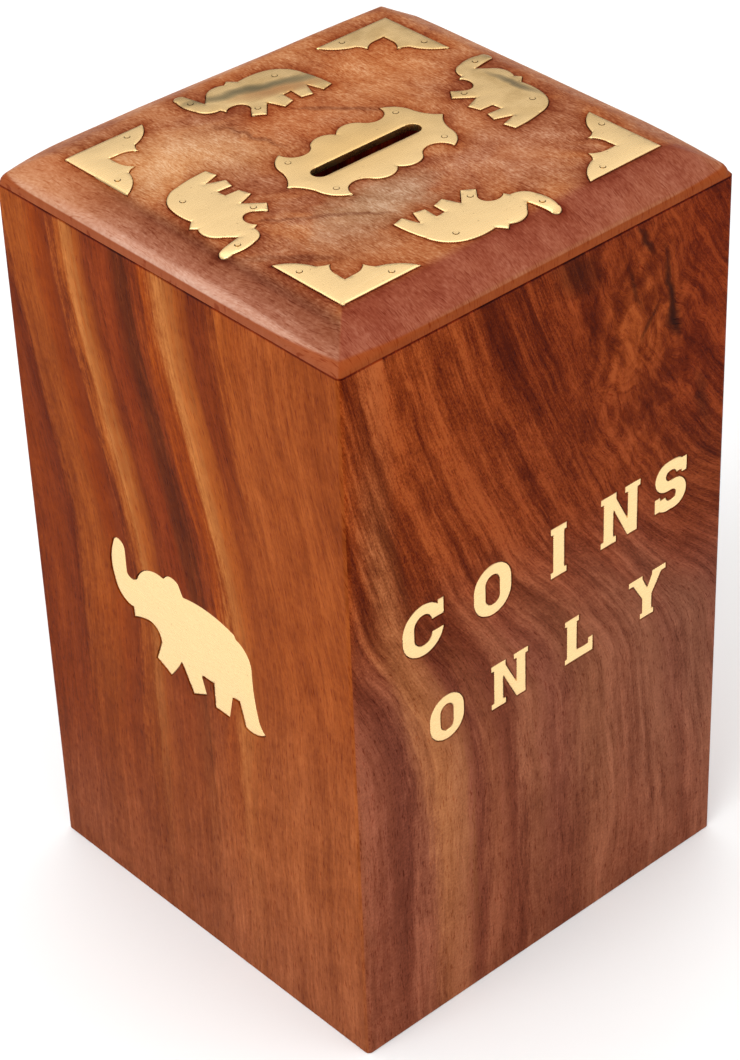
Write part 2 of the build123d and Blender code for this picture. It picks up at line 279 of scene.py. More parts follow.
def lacquered(g, colour, grain, strength=1.0):
    """Finished material: darker, sunken pores, darkening round the inlays, painted shade inside the
    coin slot, and the seam under the top board.
    """
    halo_and_slot_shade = g.attribute("halo_and_slot_shade")
    seam = g.step(g.calc("ABSOLUTE", g.scaled(g.z, 1.0, 0.1 - JOINT)), 0.42, 0.12)
    depth = g.add(g.scaled(grain.pores, 0.30 * strength), g.add(halo_and_slot_shade, g.scaled(seam, 0.55)))
    colour = g.deepened(colour, g.add(depth, 1.0))
    relief = g.add(g.scaled(grain.fine, 0.6), g.scaled(grain.pores, -0.6))
    roughness = g.scaled(grain.fine, 0.22, 0.34)
    return g.finish(colour, roughness, g.bump(relief, 0.045), **LACQUER)


def left_wood():
    """Red-brown wall with golden and dark streaks that lean and fade out halfway down."""
    g = Graph("left_wood")
    across = g.scaled(g.y, -1.0, 62.0)
    lean = g.step(g.z, 215.0, 98.0, 0.0, 21.0)
    wander = g.noise(across, g.z, 3.0, (30.0, 70.0, 1.0), 2.0)
    s = g.add(g.less(across, lean), g.scaled(wander, 5.0, -2.5))
    grain = Grain(g, s, g.z, g.x, 11.0)
    feathered = g.add(s, grain.mixed(g, 0.0, 12.0, 5.0, 3.0))
    streaks = g.bands(
        feathered,
        (-12.0, RED),
        (-4.0, BROWN),
        (2.0, ORANGE),
        (8.0, ORANGE),
        (13.0, RED),
        (19.0, BROWN),
        (22.5, ORANGE),
        (26.5, GOLD),
        (30.0, ORANGE),
        (34.5, BROWN),
        (40.0, (0.19, 0.028, 0.004)),
        (47.0, DARK),
        (51.0, BROWN),
        (56.0, RED),
        (61.5, GOLD),
        (66.5, ORANGE),
        (71.0, BROWN),
        (77.0, BROWN),
        (83.0, ORANGE),
        (90.0, RED),
    )
    calm = g.blend(g.step(across, 10.0, 112.0), (0.165, 0.028, 0.004), (0.29, 0.078, 0.022))
    shown = g.times(g.step(g.z, 30.0, 135.0, 0.18, 1.0), g.step(across, 98.0, 82.0))
    colour = g.blend(shown, calm, streaks)
    reddish = g.times(g.step(across, 70.0, 100.0), g.step(g.z, 60.0, 120.0, 0.2, 0.75))
    colour = g.blend(reddish, colour, (0.265, 0.050, 0.005))
    edge = g.times(g.step(across, 30.0, 6.0), g.step(g.z, 195.0, 150.0))
    colour = g.blend(g.scaled(edge, 0.45), colour, (0.135, 0.020, 0.004))
    patch = g.spot(across, g.z, (30.0, 92.0), (14.0, 20.0))
    colour = g.blend(g.scaled(patch, 0.5), colour, (0.30, 0.058, 0.006))
    foot = g.times(g.step(g.z, 60.0, 0.0), 0.6)
    colour = g.blend(foot, colour, (0.26, 0.074, 0.030))
    tone = grain.mixed(g, 0.5, 0.55, 0.65, 0.4, 0.5)
    colour = g.shaded(colour, g.scaled(tone, -0.78, 1.0))
    return lacquered(g, colour, grain)


def front_wood():
    """Dark red-brown wall with slanting fibres, a burr at the upper right, and a painted hazy sheen
    over its foot.
    """
    g = Graph("front_wood")
    across = g.scaled(g.x, 1.0, 63.5)
    rise = g.calc("MAXIMUM", g.scaled(g.z, 1.0, -78.0), 0.0)
    rise = g.times(rise, g.step(rise, -20.0, 55.0))
    burr = g.spot(across, g.z, (97.0, 172.0), (40.0, 62.0))
    twirl_x = g.noise(across, g.z, 17.0, (14.0, 18.0, 1.0), 2.0, 0.5)
    wander = g.noise(across, g.z, 7.0, (38.0, 60.0, 1.0), 2.0)
    s = g.add(g.times(across, g.scaled(rise, 0.006, 1.0)), g.scaled(rise, 0.36))
    s = g.add(s, g.scaled(wander, 8.0, -4.0))
    s = g.add(s, g.times(burr, g.scaled(twirl_x, 26.0, -13.0)))
    foot_bend = g.times(g.step(across, 60.0, 120.0), g.step(g.z, 20.0, 110.0))
    s = g.add(s, g.scaled(foot_bend, 14.0))
    grain = Grain(g, s, g.scaled(g.z, 1.6), g.y, 31.0)
    upper = g.blend(g.step(across, 0.0, 75.0), (0.25, 0.043, 0.0065), (0.175, 0.025, 0.004))
    upper = g.blend(g.step(g.z, 185.0, 140.0, 0.0, 0.35), upper, (0.21, 0.038, 0.008))
    lower = g.bands(
        g.add(s, grain.mixed(g, 0.0, 9.0, 4.0, 2.0)),
        (-5.0, (0.26, 0.070, 0.026)),
        (6.0, (0.23, 0.055, 0.024)),
        (15.0, (0.155, 0.030, 0.013)),
        (21.0, (0.23, 0.060, 0.027)),
        (28.0, (0.36, 0.120, 0.040)),
        (35.0, (0.31, 0.100, 0.036)),
        (40.0, (0.20, 0.045, 0.020)),
        (46.0, (0.27, 0.075, 0.030)),
        (52.0, (0.175, 0.036, 0.014)),
        (60.0, (0.27, 0.082, 0.036)),
        (68.0, (0.20, 0.050, 0.024)),
        (82.0, (0.25, 0.078, 0.034)),
        (96.0, (0.215, 0.060, 0.027)),
        (108.0, (0.26, 0.085, 0.042)),
        (116.0, (0.17, 0.044, 0.021)),
        (126.0, (0.24, 0.080, 0.042)),
        (140.0, (0.20, 0.055, 0.030)),
    )
    lower = g.blend(g.step(g.z, 60.0, 5.0, 0.0, 0.5), lower, (0.20, 0.042, 0.015))
    # Painted sheen: a pale mauve haze of reflected light mixed over the lower zone.
    lower = g.blend(0.09, lower, (0.40, 0.190, 0.120))
    low = g.step(g.z, g.add(150.0, g.scaled(across, -0.14)), g.add(96.0, g.scaled(across, -0.18)))
    colour = g.blend(low, upper, lower)
    streak_line = g.add(across, g.step(g.z, 45.0, 170.0, 0.0, 19.0))
    away = g.calc("ABSOLUTE", g.add(g.less(streak_line, 28.0), grain.mixed(g, 0.0, 5.0, 2.0)))
    streak = g.times(g.step(away, 1.0, 7.5, 1.0, 0.0), g.step(g.z, 190.0, 140.0, 0.1, 0.5))
    streak = g.times(streak, g.step(g.z, 50.0, 85.0))
    colour = g.blend(streak, colour, (0.40, 0.140, 0.048))
    rich = g.spot(across, g.z, (118.0, 122.0), (22.0, 34.0))
    colour = g.blend(g.scaled(g.calc("SQRT", rich), 0.85), colour, (0.165, 0.028, 0.006))
    edge = g.times(g.step(across, 98.0, 118.0), g.step(g.z, 120.0, 150.0))
    colour = g.blend(g.scaled(edge, 0.6), colour, (0.150, 0.016, 0.002))
    pale = g.spot(across, g.z, (95.0, 178.0), (22.0, 26.0))
    colour = g.blend(g.scaled(pale, 0.5), colour, (0.27, 0.052, 0.008))
    strings = g.times(grain.mixed(g, 1.5, 1.5, 0.8, 0.7), g.scaled(burr, -0.65, 1.0))
    lumps = g.noise(across, g.z, 23.0, (8.0, 13.0, 1.0), 6.0, 0.66, 0.8)
    knots = g.times(burr, g.scaled(lumps, 3.2, -1.6))
    tone = g.add(strings, g.add(knots, grain.mixed(g, 0.0, 0.0, 0.0, 0.4, 0.7)))
    exponent = g.add(g.times(tone, g.scaled(low, 0.50, -0.94)), 1.04)
    exponent = g.calc("SMOOTH_MAX", g.calc("MINIMUM", exponent, 1.60), 0.70, 0.30)
    colour = g.shaded(colour, exponent)
    crack = g.add(across, g.scaled(g.noise(0.0, g.z, 3.0, 9.0, 2.0), 9.0, -4.5))
    for centre, size, tilt, depth in (
        ((106.0, 181.0), (1.5, 17.0), 0.20, 0.9),
        ((107.5, 173.0), (3.0, 6.0), 0.1, 0.8),
        ((97.0, 199.0), (1.6, 6.0), 0.5, 0.8),
        ((93.0, 188.0), (1.0, 8.0), 0.4, 0.6),
        ((74.0, 200.0), (9.0, 9.0), 0.5, 0.6),
        ((99.0, 176.0), (1.2, 6.0), -0.6, 0.6),
        ((118.0, 145.0), (3.0, 12.0), 0.2, 0.5),
    ):
        mark = g.spot(crack, g.z, centre, size, tilt)
        colour = g.blend(g.scaled(g.calc("SQRT", mark), depth), colour, BLACK)
    return lacquered(g, colour, grain)


def plain_wood(name, across_axis, depth_axis, seed):
    """Wood of the walls that carry no inlay, with quieter figure."""
    g = Graph(name)
    axes = {"x": g.x, "y": g.y}
    across, depth = axes[across_axis], axes[depth_axis]
    wander = g.noise(across, g.z, seed, (34.0, 90.0, 1.0), 2.0)
    s = g.add(across, g.scaled(wander, 14.0, -7.0))
    grain = Grain(g, s, g.z, depth, seed)
    clouds = g.noise(s, g.z, seed, (22.0, 120.0, 1.0), 1.0)
    colour = g.blend(g.step(clouds, 0.35, 0.65), (0.21, 0.030, 0.003), (0.34, 0.075, 0.010))
    tone = grain.mixed(g, 0.9, 1.0, 0.7, 0.3, 0.3)
    colour = g.deepened(colour, g.scaled(tone, -0.85, 1.0))
    return lacquered(g, colour, grain)


def top_wood():
    """Pinkish-brown field with orange and olive patches, and paler bevels: a painted highlight
    along their outer edges and a painted mauve reflection on the front one.
    """
    g = Graph("top_wood")
    wander = g.noise(g.x, g.y, 5.0, (30.0, 40.0, 1.0), 2.0)
    s = g.add(g.x, g.scaled(wander, 10.0, -5.0))
    grain = Grain(g, s, g.y, g.z, 51.0)
    ragged = g.noise(g.x, g.y, 13.0, 7.0, 3.0, 0.6)
    x = g.add(g.x, g.scaled(ragged, 12.0, -6.0))
    y = g.add(g.y, g.scaled(ragged, -12.0, 6.0))
    clouds = g.noise(g.x, g.y, 9.0, 26.0, 3.0, 0.6, 0.8)
    colour = g.blend(g.step(clouds, 0.40, 0.62), (0.30, 0.105, 0.048), (0.40, 0.155, 0.064))
    for centre, size, tilt, amount, tint in (
        ((-34.0, 27.0), (26.0, 20.0), 0.3, 0.85, (0.55, 0.285, 0.135)),
        ((-44.0, 33.0), (12.0, 22.0), 0.0, 0.5, (0.60, 0.33, 0.165)),
        ((0.0, 22.0), (17.0, 14.0), 0.2, 0.8, (0.40, 0.135, 0.050)),
        ((33.0, 30.0), (24.0, 24.0), 0.0, 0.8, (0.47, 0.175, 0.062)),
        ((18.0, 50.0), (30.0, 9.0), 0.0, 0.6, (0.42, 0.160, 0.060)),
        ((-15.0, -21.0), (22.0, 12.0), -0.3, 0.85, (0.37, 0.215, 0.125)),
        ((-30.0, -30.0), (20.0, 10.0), 0.4, 0.5, (0.27, 0.105, 0.050)),
        ((22.0, -27.0), (22.0, 14.0), 0.0, 0.6, (0.37, 0.145, 0.074)),
        ((30.0, -8.0), (9.0, 16.0), 0.0, 0.6, (0.43, 0.175, 0.080)),
        ((-32.0, 8.0), (10.0, 18.0), 0.0, 0.6, (0.33, 0.125, 0.062)),
        ((-22.0, 50.0), (22.0, 10.0), 0.0, 0.6, (0.40, 0.165, 0.075)),
        ((33.0, -48.0), (9.0, 9.0), 0.0, 0.6, (0.27, 0.095, 0.050)),
    ):
        place = g.spot(x, y, centre, size, tilt)
        colour = g.blend(g.scaled(g.calc("SQRT", place), amount), colour, tint)
    bent = g.add(x, g.scaled(grain.curl, 5.0, -2.5))
    for centre, size, tilt in (
        ((-14.0, 24.0), (1.8, 13.0), 0.25),
        ((11.0, 19.0), (1.6, 11.0), 0.95),
        ((-28.0, -16.0), (1.6, 14.0), 1.3),
        ((-46.0, -24.0), (2.2, 12.0), 0.9),
    ):
        vein = g.spot(bent, y, centre, size, tilt)
        colour = g.blend(g.scaled(g.calc("SQRT", vein), 0.6), colour, (0.17, 0.050, 0.022))
    from_left = g.scaled(g.x, 1.0, HIGH.x)
    from_right = g.scaled(g.x, -1.0, HIGH.x)
    from_front = g.scaled(g.y, 1.0, HIGH.y)
    from_back = g.scaled(g.y, -1.0, HIGH.y)
    ridge = g.less(from_front, from_left)
    near = g.step(g.y, 50.0, 8.0)
    # Left bevel: a painted highlight along the outer edge, then mid-brown, then a dark grain line
    # by the field.
    left_bevel_and_highlight = g.bands(
        g.add(from_left, g.scaled(grain.middle, 1.6, -0.8)),
        (0.0, (0.52, 0.290, 0.210)),
        (1.4, (0.47, 0.240, 0.165)),
        (3.0, (0.30, 0.112, 0.066)),
        (7.0, (0.23, 0.074, 0.038)),
        (10.0, (0.14, 0.040, 0.020)),
        (13.0, (0.26, 0.088, 0.042)),
    )
    # Farther back the left bevel is paler, with a painted highlight along its outer edge.
    far_bevel_and_highlight = g.bands(
        g.add(from_left, g.scaled(grain.middle, 3.0, -1.5)),
        (0.0, (0.50, 0.250, 0.150)),
        (2.5, (0.47, 0.210, 0.105)),
        (6.0, (0.42, 0.165, 0.075)),
    )
    left_bevel_and_highlight = g.blend(near, far_bevel_and_highlight, left_bevel_and_highlight)
    on_left = g.times(g.step(ridge, -0.5, 0.5), g.step(from_left, 13.0, 8.0))
    colour = g.blend(g.scaled(on_left, 0.92), colour, left_bevel_and_highlight)
    lines = g.noise(g.x, g.y, 77.0, (1.3, 40.0, 1.0), 2.0, 0.6)
    lined = g.times(on_left, g.scaled(lines, -1.0, 0.5))
    # Front bevel: a painted highlight line at its outer edge, with a painted mauve reflection mixed
    # over it.
    mauve_reflection = g.blend(g.step(g.x, -50.0, 60.0), (0.245, 0.058, 0.032), (0.265, 0.080, 0.046))
    front_bevel_and_sheen = g.bands(
        from_front,
        (0.0, (0.40, 0.150, 0.060)),
        (0.8, (0.27, 0.075, 0.040)),
        (4.0, (0.25, 0.066, 0.036)),
    )
    front_bevel_and_sheen = g.blend(0.5, front_bevel_and_sheen, mauve_reflection)
    on_front = g.times(g.step(ridge, 0.5, -0.5), g.step(from_front, 15.0, 11.0))
    colour = g.blend(g.scaled(on_front, 0.9), colour, front_bevel_and_sheen)
    far = g.step(g.calc("MINIMUM", from_right, from_back), 8.0, 2.0)
    colour = g.blend(g.scaled(far, 0.5), colour, (0.44, 0.190, 0.095))
    rim = g.step(g.z, JOINT + 2.8, JOINT + 2.3)
    colour = g.blend(g.times(rim, 0.9), colour, (0.27, 0.055, 0.011))
    lumps = g.noise(g.x, g.y, 29.0, (5.0, 9.0, 1.0), 4.0, 0.62, 0.4)
    flecks = g.noise(s, g.y, 61.0, (0.45, 1.5, 1.0), 2.0, 0.6)
    tone = g.add(grain.mixed(g, 0.2, 0.45, 0.4, 0.5, 0.5), g.scaled(lumps, 1.5, -0.75))
    tone = g.add(g.less(tone, lined), g.scaled(flecks, 2.0, -1.0))
    calm = g.times(g.scaled(rim, -0.75, 1.0), g.scaled(g.add(on_left, on_front), -0.45, 1.0))
    tone = g.times(tone, calm)
    colour = g.deepened(colour, g.calc("MAXIMUM", g.scaled(tone, -0.60, 1.03), 0.72))
    return lacquered(g, colour, grain, 0.8)


def brass(name, scratch_size):
    """Filed and sanded brass with fine scratches and faint dents."""
    g = Graph(name)
    scratches = g.noise(g.x, g.y, g.z, scratch_size, 2.0, 0.6)
    colour = g.blend(scratches, (0.90, 0.60, 0.275), (0.96, 0.68, 0.335))
    if name == "top_brass":
        colour = browned_with_painted_reflections(g, colour)
    specks = g.step(g.noise(g.x, g.y, g.z, 1.0, 1.0), 0.74, 0.79)
    colour = g.blend(g.scaled(specks, 0.5), colour, (0.40, 0.25, 0.11))
    dents = g.noise(g.x, g.y, g.z, 8.0, 1.0)
    normal = g.bump(scratches, 0.0007, under=g.bump(dents, 0.06))
    return g.finish(colour, g.scaled(scratches, 0.14, 0.20), normal, Metallic=1.0)


def browned_with_painted_reflections(g, colour):
    """Golden round the slot and browner to the back and right, with painted reflections: an
    orange-brown one and two dark ones.
    """
    cloud = g.step(g.noise(g.x, g.y, g.add(g.z, 30.0), 9.0, 3.0, 0.6), 0.40, 0.65)
    middle = g.spot(g.x, g.y, (0.0, 4.0), (36.0, 24.0))
    colour = g.blend(g.scaled(middle, 0.75), colour, (0.84, 0.52, 0.19))
    # Browner towards the back and right, in clouds.
    browner_back = g.times(g.step(g.add(g.x, g.y), -6.0, 46.0), g.scaled(cloud, 0.5, 0.5))
    colour = g.blend(g.scaled(browner_back, 0.8), colour, (0.56, 0.35, 0.13))
    bend = g.scaled(g.noise(g.x, g.y, 3.0, 8.0), 3.0, -1.5)
    x, y = g.add(g.x, bend), g.add(g.y, bend)
    # Painted reflections: an orange-brown band and a dark one on the back elephant, a dark one on
    # the right elephant.
    for centre, size, tilt, tint in (
        ((6.0, 38.4), (15.0, 3.4), None, (0.44, 0.19, 0.06)),
        ((3.0, 41.6), (28.0, 2.5), None, (0.11, 0.090, 0.04)),
        ((49.0, -2.0), (1.6, 11.0), 0.08, (0.16, 0.12, 0.06)),
    ):
        if tilt is None:
            painted_reflection = g.spot(x, g.add(y, g.scaled(x, 0.32, -1.0)), centre, size)
        else:
            painted_reflection = g.spot(x, y, centre, size, tilt)
        colour = g.blend(g.scaled(g.calc("SQRT", painted_reflection), 0.85), colour, tint)
    return colour


def steel():
    g = Graph("screw_steel")
    rubbed = g.noise(g.x, g.y, g.z, 0.6, 3.0)
    colour = g.blend(rubbed, (0.42, 0.41, 0.38), (0.66, 0.65, 0.62))
    return g.finish(colour, g.scaled(rubbed, 0.2, 0.28), g.bump(rubbed, 0.02), Metallic=1.0)


# ---- outlines -----------------------------------------------------------------------------------
def face_loops(node, axis, level):
    """Outlines, in the two other axes, of a CAD node's face at a level in mm; longest first."""
    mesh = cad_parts[node].data
    others = [a for a in range(3) if a != axis]
    edges = set()
    for polygon in mesh.polygons:
        corners = [mesh.vertices[v].co / MM for v in polygon.vertices]
        if all(abs(c[axis] - level) < 0.01 for c in corners):
            keys = [tuple(round(c[a], 3) for a in others) for c in corners]
            edges.update(zip(keys, keys[1:] + keys[:1]))
    following = dict(e for e in edges if e[::-1] not in edges)
    loops = []
    while following:
        start, here = following.popitem()
        loop = [start]
        while here != start:
            loop.append(here)
            here = following.pop(here)
        loops.append(np.array(loop))
    return sorted(loops, key=lambda loop: -np.ptp(loop[:, 0]) - np.ptp(loop[:, 1]))


def interpolate(a, b, share):
    return a + (b - a) * share


def area(loop):
    x, y = loop.T
    return 0.5 * float(np.sum(x * np.roll(y, -1) - y * np.roll(x, -1)))


def grown(loop, amount):
    """The outline moved outwards by an amount, its corners kept."""
    ahead = np.roll(loop, -1, 0) - loop
    ahead /= np.linalg.norm(ahead, axis=1)[:, None]
    outward = np.stack([ahead[:, 1], -ahead[:, 0]], 1) * np.sign(area(loop))
    before = np.roll(outward, 1, 0)
    both = outward + before
    return loop + amount * 2 * both / np.maximum(np.sum(both * both, 1), 1.0)[:, None]


def distances(points, loops):
    """Distance of each point from the nearest stretch of the loops."""
    nearest = np.full(len(points), 1e9)
    for loop in loops:
        for a, b in zip(loop, np.roll(loop, -1, 0)):
            along = b - a
            share = np.clip((points - a) @ along / (along @ along), 0, 1)
            away = points - a - share[:, None] * along
            nearest = np.minimum(nearest, np.einsum("ij,ij->i", away, away))
    return np.sqrt(nearest)


def inside(points, loops):
    """Whether each point is inside an odd number of the loops."""
    odd = np.zeros(len(points), bool)
    x, y = points.T
    for loop in loops:
        for (ax, ay), (bx, by) in zip(loop, np.roll(loop, -1, 0)):
            if ay != by:
                crosses = (ay > y) != (by > y)
                odd ^= crosses & (x < ax + (y - ay) * (bx - ax) / (by - ay))
    return odd


def cut_by_hand(loop, seed, amount=0.08):
    """The outline with more points, filed back unevenly by up to an amount."""
    points = []
    for a, b in zip(loop, np.roll(loop, -1, 0)):
        pieces = max(1, round(float(np.linalg.norm(b - a)) / 0.6))
        points += [interpolate(a, b, step / pieces) for step in range(pieces)]
    points = np.array(points)
    filed = [0.5 + 0.5 * noise.noise(Vector((x / 2.2, y / 2.2, seed))) for x, y in points]
    return points - (points - grown(points, -1.0)) * (amount * np.array(filed))[:, None]


def rings_inside(loops, insets, spacing):
    """Points along the inside of the loops at each inset, kept off each other's edges."""
    found = []
    for loop in loops:
        for a, b in zip(loop, np.roll(loop, -1, 0)):
            length = np.linalg.norm(b - a)
            count = max(1, int(round(length / spacing)))
            shares = (np.arange(count) + 0.5) / count
            normal = np.array([-(b - a)[1], (b - a)[0]]) / length
            for side in (1, -1):
                for inset in insets:
                    found.append(a + shares[:, None] * (b - a) + side * inset * normal)
    points = np.concatenate(found)
    points = points[inside(points, loops)]
    return points[distances(points, loops) > 0.9 * insets[0]]


def lattice(low, high, spacing):
    """Points of a triangular lattice that fill a rectangle."""
    rows = []
    for number, y in enumerate(np.arange(low[1], high[1], spacing * 0.87)):
        xs = np.arange(low[0] + (number % 2) * spacing / 2, high[0], spacing)
        rows.append(np.stack([xs, np.full(len(xs), y)], 1))
    return np.concatenate(rows)


# ---- shells -------------------------------------------------------------------------------------
SMOOTH_ANGLE = 35.0          # edges between faces that meet at less are shaded round


class Shell:
    """A closed mesh under construction, in millimetres."""

    def __init__(self):
        self.points = []
        self.faces = []

    def ring(self, flat, heights):
        """Adds points at (x, y) with their heights and returns their numbers."""
        heights = np.broadcast_to(heights, len(flat))
        first = len(self.points)
        self.points += [(x, y, z) for (x, y), z in zip(flat, heights)]
        return list(range(first, len(self.points)))

    def bridge(self, upper, lower):
        """Quads between two rings of as many points."""
        for i in range(len(upper)):
            j = (i + 1) % len(upper)
            self.faces.append((upper[i], upper[j], lower[j], lower[i]))

    def fill(self, rings, inner=()):
        """Triangles inside the first ring and outside the others, through the inner points."""
        numbers = [n for ring in rings for n in ring] + list(inner)
        flat = [Vector(self.points[n][:2]) for n in numbers]
        edges = []
        first = 0
        for ring in rings:
            edges += [(first + i, first + (i + 1) % len(ring)) for i in range(len(ring))]
            first += len(ring)
        made, _, faces, origins, _, _ = delaunay_2d_cdt(flat, edges, [], 0, 1e-5, True)
        loops = [np.array([self.points[n][:2] for n in ring]) for ring in rings]
        middles = np.array([sum((made[v] for v in face), Vector((0, 0))) / 3 for face in faces])
        for face, kept in zip(faces, inside(middles, loops)):
            if kept:
                self.faces.append(tuple(numbers[origins[v][0]] for v in face))

    def build(self, name, material, body, to_space, halos_and_slot_shade=None):
        """Object on a body, with each point put in its place by to_space."""
        mesh = bpy.data.meshes.new(name)
        mesh.from_pydata([Vector(to_space(*p)) * MM for p in self.points], [], self.faces)
        mesh.validate()
        bpy_object = bpy.data.objects.new(name, mesh)
        bpy.context.scene.collection.objects.link(bpy_object)
        mesh.materials.append(material)
        if halos_and_slot_shade is not None:
            layer = mesh.attributes.new("halo_and_slot_shade", "FLOAT", "POINT")
            layer.data.foreach_set("value", np.asarray(halos_and_slot_shade, np.float32))
        face_outwards(mesh)
        mesh.shade_smooth()
        mesh.set_sharp_from_angle(angle=math.radians(SMOOTH_ANGLE))
        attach(bpy_object, body)
        return bpy_object


def face_outwards(mesh):
    shell = bmesh.new()
    shell.from_mesh(mesh)
    bmesh.ops.recalc_face_normals(shell, faces=shell.faces)
    shell.to_mesh(mesh)
    shell.free()


# ---- top board ----------------------------------------------------------------------------------
FIELD = HIGH.z - 0.30        # level of the sanded field, a little below the brass
GLUE_GAP = 0.14              # between a brass plate and its pocket
INLAY_FLOOR = HIGH.z - 2.0
RIM = JOINT + 3.3            # level of the rim where it isn't sanded down
BEVEL_WIDTH = 10.8
BEVEL_SOFTNESS = 0.20        # of the bend between field and bevel, as a share of the bevel
EDGE_RADIUS = 1.1            # of the rim's upper edge
TOP_INLAYS = ["slot_plate"]
TOP_INLAYS += [f"top_elephant_{n}" for n in range(1, 5)]
TOP_INLAYS += [f"corner_bracket_{n}" for n in range(1, 5)]
# Of each corner, counted anticlockwise from back right: which way it lies, the board's radius
# in plan, how far the rim is sanded down there, and over what length along the sides.
CORNERS = (
    ((1, 1), 4.2, 0.7, 30.0),
    ((-1, 1), 2.6, 2.4, 20.0),
    ((-1, -1), 1.3, 2.4, 50.0),
    ((1, -1), 3.6, 1.9, 34.0),
)


def rounded_rectangle(inset, share=0.0, arc_points=9, side_points=60):
    """The board's plan outline, inset from its rim; a share of 1 has the walls' corner radius."""
    half = np.array([HIGH.x, HIGH.y])
    arcs = []
    for quarter, (signs, radius, _, _) in enumerate(CORNERS):
        radius = interpolate(radius, WALL_RADIUS, share)
        angles = np.radians(90.0 * (quarter + np.linspace(0, 1, arc_points)))
        spokes = np.stack([np.cos(angles), np.sin(angles)], 1)
        arcs.append((half - radius) * signs + max(radius - inset, 0.05) * spokes)
    points = []
    for arc, following in zip(arcs, arcs[1:] + arcs[:1]):
        points += list(arc)
        for step in range(1, side_points):
            points.append(interpolate(arc[-1], following[0], step / side_points))
    return np.array(points)


def depth_from_rim(points):
    """How far inside the board's rounded plan outline each point is."""
    depth = np.zeros(len(points))
    for signs, radius, _, _ in CORNERS:
        mine = (points[:, 0] * signs[0] >= 0) & (points[:, 1] * signs[1] >= 0)
        away = np.abs(points[mine]) - (np.array([HIGH.x, HIGH.y]) - radius)
        outside = np.linalg.norm(np.maximum(away, 0), axis=1)
        depth[mine] = radius - outside - np.minimum(np.max(away, 1), 0)
    return depth


def board_height(points):
    """Height of the sanded board over its plan."""
    rim = np.full(len(points), RIM)
    near_corner = np.zeros(len(points))
    for signs, _, sanded, length in CORNERS:
        away = np.linalg.norm(points - np.array([HIGH.x, HIGH.y]) * signs, axis=1)
        near = np.clip(1 - away / length, 0, 1) ** 2
        rim -= sanded * near
        near_corner += near
    back = np.clip((points[:, 1] - 48.0) / 12.0, 0, 1) * np.clip((points[:, 0] + 20.0) / 70.0, 0, 1)
    rim -= 1.5 * back
    far = np.clip(0.5 + (points[:, 0] + points[:, 1]) / 60.0, 0, 1)
    width = BEVEL_WIDTH + 1.8 * near_corner - 2.4 * far
    depth = depth_from_rim(points)
    slope = 1 - depth / width
    bevel = 0.5 * (slope + np.sqrt(slope * slope + BEVEL_SOFTNESS**2))
    height = FIELD - (FIELD - rim) * bevel
    edge_radius = np.minimum(EDGE_RADIUS, 0.8 * (rim - JOINT))
    short = np.clip(edge_radius - depth, 0, edge_radius)
    return height - (edge_radius - np.sqrt(edge_radius**2 - short**2))


def unevenness(points, size, amount):
    return np.array([amount * noise.noise(Vector((x / size, y / size, 7.0))) for x, y in points])


def make_top_board(material):
    """Sanded board with a pocket under each inlay and the coin slot through it."""
    shell = Shell()
    pockets = [grown(face_loops(n, 2, INLAY_FLOOR)[0], GLUE_GAP) for n in TOP_INLAYS]
    slot = face_loops("slot_plate", 2, INLAY_FLOOR)[1]
    outline = rounded_rectangle(0.0)
    borders = [rounded_rectangle(inset) for inset in (0.12, 0.3, 0.6, 1.0, 1.6)]
    inner = np.concatenate([lattice(-HIGH.xy, HIGH.xy, 1.3), *(rings_around(p) for p in pockets)])
    inner = inner[depth_from_rim(inner) > 2.2]
    inner = inner[~inside(inner, pockets)]
    inner = inner[distances(inner, pockets) > 0.12]
    inner = np.concatenate([*borders, inner])
    close = distances(inner, pockets)

    def top(points, away):
        dip = 0.10 * np.exp(-away / 1.6)
        return board_height(points) + unevenness(points, 17.0, 0.07) - dip

    rim = shell.ring(outline, top(outline, 9.0))
    pocket_rims = [shell.ring(p, top(p, 0.0) - 0.06) for p in pockets]
    field = shell.ring(inner, top(inner, close))
    shell.fill([rim, *pocket_rims], field)
    for number, (pocket, pocket_rim) in enumerate(zip(pockets, pocket_rims)):
        floor = shell.ring(pocket, INLAY_FLOOR)
        shell.bridge(pocket_rim, floor)
        if number == 0:
            slot_top = shell.ring(slot, INLAY_FLOOR)
            slot_bottom = shell.ring(slot, JOINT)
            shell.fill([floor, slot_top])
            shell.bridge(slot_top, slot_bottom)
        else:
            shell.fill([floor])
    upper = rim
    for share, inset in ((0.35, 0.0), (0.7, 0.0), (0.92, 0.0), (1.0, 0.22)):
        flat = rounded_rectangle(inset, share)
        heights = interpolate(np.array([shell.points[n][2] for n in rim]), JOINT, share)
        lower = shell.ring(flat, heights)
        shell.bridge(upper, lower)
        upper = lower
    shell.fill([upper, slot_bottom])
    flat = np.array([p[:2] for p in shell.points])
    away = distances(flat, pockets)
    # Darker round each pocket: a thin line and a wider halo.
    halos_and_slot_shade = 0.25 * np.exp(-away / 0.5) + 0.38 * np.exp(-away / 2.6)
    # Painted shade: the coin slot's inner walls made much darker.
    halos_and_slot_shade[slot_top + slot_bottom] = 2.2
    board = shell.build("sanded_top", material, "box", lambda x, y, z: (x, y, z), halos_and_slot_shade)
    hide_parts("top_board")


def rings_around(loop):
    """Points round the outside of a loop, closer together near it."""
    return np.concatenate([grown(loop, away) for away in (0.25, 0.6, 1.1)])


# ---- brass inlays -------------------------------------------------------------------------------
PIN_HOLE_GAP = 0.17          # between a pin and the plate
SHOULDER = 0.25              # radius that a plate's edge is filed to
TOP_DOME = 0.08              # how much lower a plate is at its edge than in the middle
LETTER_DOME = 0.06
ELEPHANT_DOME = 0.2


